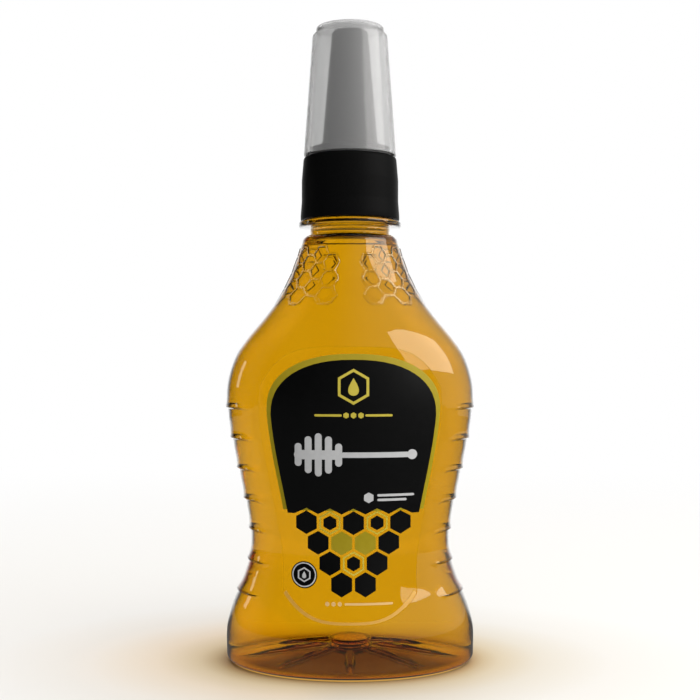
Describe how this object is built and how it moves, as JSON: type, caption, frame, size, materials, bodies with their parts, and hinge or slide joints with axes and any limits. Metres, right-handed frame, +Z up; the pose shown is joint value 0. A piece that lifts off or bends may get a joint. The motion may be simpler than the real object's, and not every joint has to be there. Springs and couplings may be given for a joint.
{
  "type": "honey squeeze bottle",
  "caption": "Clear oval squeeze bottle filled with honey, waisted with side grip ribs and a front label, closed by a black screw collar, a grey pouring spout and a clear pull-off overcap.",
  "frame": {"origin": "centre of the bottle's footprint, on the plane it stands on", "axes": "+Z up along the bottle's axis, -Y out of the labelled front, +X to the right seen from the front"},
  "size_m": [0.0684, 0.048, 0.1728],
  "materials": {
    "clear_pet": "gloss",
    "honey": "gloss",
    "label_print": "satin",
    "black_plastic": "satin",
    "grey_plastic": "satin",
    "seal_foam": "matte",
    "clear_plastic": "satin"
  },
  "bodies": {
    "filled_bottle": {"bottle": "clear_pet", "honey": "honey", "front_label": "label_print"},
    "closure": {"spout": "grey_plastic", "seal_ring": "seal_foam"},
    "screw_collar": {"collar": "black_plastic"},
    "dust_cap": {"overcap": "clear_plastic"}
  },
  "joints": [
    {"name": "closure_lift", "type": "slide", "parent": "filled_bottle", "child": "closure", "axis": [0, 0, 1], "range_m": [0, 0.0048]},
    {"name": "collar_turn", "type": "hinge", "parent": "closure", "child": "screw_collar", "pos_m": [0, 0, 0.1286], "axis": [0, 0, 1], "range_deg": [0, 540]},
    {"name": "overcap_pull", "type": "slide", "parent": "closure", "child": "dust_cap", "axis": [0, 0, 1], "range_m": [0, 0.045]}
  ],
  "couplings": [
    {"joint": "closure_lift", "follows": "collar_turn", "m_per_rad": 0.00050532}
  ]
}
